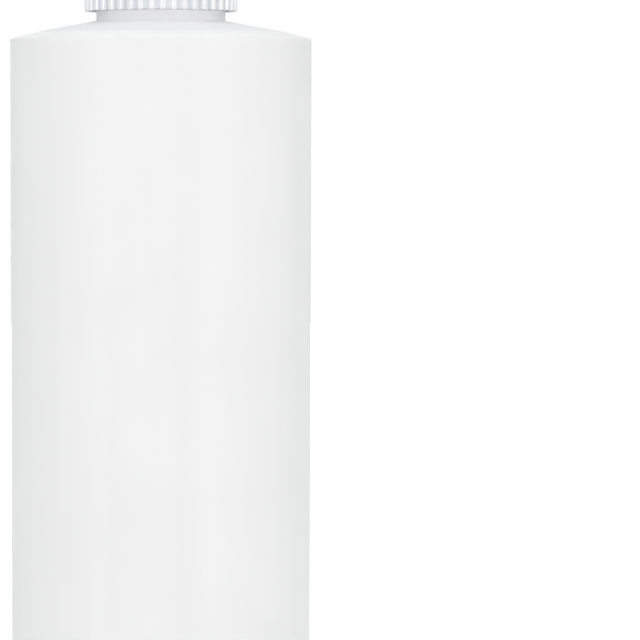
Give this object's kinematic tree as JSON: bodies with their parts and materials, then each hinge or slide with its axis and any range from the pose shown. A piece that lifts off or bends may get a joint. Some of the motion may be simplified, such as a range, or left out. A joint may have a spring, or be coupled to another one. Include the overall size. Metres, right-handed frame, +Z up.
{
  "type": "reagent bottle",
  "caption": "Round reagent bottle of translucent white plastic with a sloped shoulder, a threaded neck and a ribbed screw cap that presses a foam liner onto the lip.",
  "frame": {"origin": "centre of the ring that the bottle stands on, at table height", "axes": "+Z up along the bottle's axis, from the base to the cap; -Y towards the viewer of the picture; +X to the viewer's right"},
  "size_m": [0.0528, 0.0528, 0.1501],
  "materials": {
    "bottle": "natural translucent polyethylene, satin from the blow mould",
    "cap": "white moulded polypropylene, ribbed grip",
    "liner": "white polyethylene foam disc"
  },
  "bodies": {
    "bottle": {"bottle": "bottle"},
    "liner": {"liner": "liner"},
    "cap": {"cap": "cap"}
  },
  "joints": [
    {"name": "cap_lift", "type": "slide", "parent": "bottle", "child": "liner", "axis": [0, 0, 1], "range_m": [0, 0.0191]},
    {"name": "cap_turn", "type": "hinge", "parent": "liner", "child": "cap", "pos_m": [0, 0, 0.1486], "axis": [0, 0, 1], "range_deg": [0, 2160]}
  ],
  "couplings": [
    {"joint": "cap_lift", "follows": "cap_turn", "m_per_rad": 0.00050532}
  ]
}
